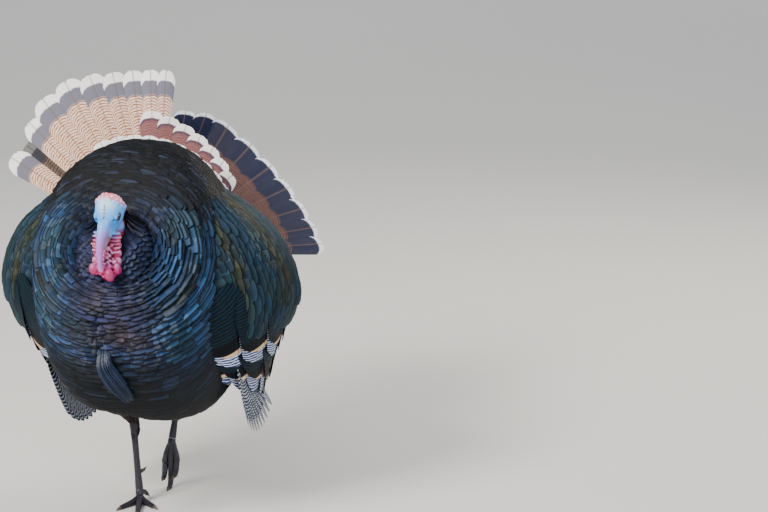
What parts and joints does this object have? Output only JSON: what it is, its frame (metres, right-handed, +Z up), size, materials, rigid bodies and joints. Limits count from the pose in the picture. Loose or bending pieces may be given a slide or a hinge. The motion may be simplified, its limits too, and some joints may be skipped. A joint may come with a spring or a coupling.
{
  "type": "wild turkey",
  "caption": "Life-size still model of an adult male wild turkey in full strut, with its tail fanned, wings lowered and one foot stepping.",
  "frame": {"origin": "on the floor, under the middle of the outline's box", "axes": "+Z up, the bird faces -Y and its own left side is at +X"},
  "size_m": [0.6858, 0.8078, 0.8423],
  "materials": {
    "coat": "satin feathers with a green and bronze sheen",
    "bare_skin": "matte, pale blue and white",
    "red_skin": "satin, knobbed",
    "snood_skin": "satin, pale lilac",
    "wing_feathers": "satin vanes, barred dark and white",
    "tail_feathers": "satin vanes, finely barred, with white tips",
    "tail_coverts": "satin vanes, red-brown with white tips",
    "beard": "coarse bristles",
    "eye": "wet",
    "horn": "satin horn",
    "leg_scales": "satin scales"
  },
  "bodies": {
    "root": {"beard": "beard", "bill_lower": "horn", "bill_upper": "horn", "caruncles": "red_skin", "claw_hind_left": "horn", "claw_hind_right": "horn", "claw_inner_left": "horn", "claw_inner_right": "horn", "claw_middle_left": "horn", "claw_middle_right": "horn", "claw_outer_left": "horn", "claw_outer_right": "horn", "eye_left": "eye", "eye_right": "eye", "foot_left": "leg_scales", "foot_right": "leg_scales", "head": "bare_skin", "neck": "bare_skin", "primaries_left": "wing_feathers", "primaries_right": "wing_feathers", "shank_left": "leg_scales", "shank_right": "leg_scales", "snood": "snood_skin", "spur_left": "horn", "spur_right": "horn", "tail_coverts_long": "tail_coverts", "tail_coverts_short": "tail_coverts", "tail_coverts_under": "tail_coverts", "tail_left": "tail_feathers", "tail_right": "tail_feathers", "thigh_left": "coat", "thigh_right": "coat", "trunk": "coat", "wing_left": "wing_feathers", "wing_right": "wing_feathers"}
  },
  "joints": []
}
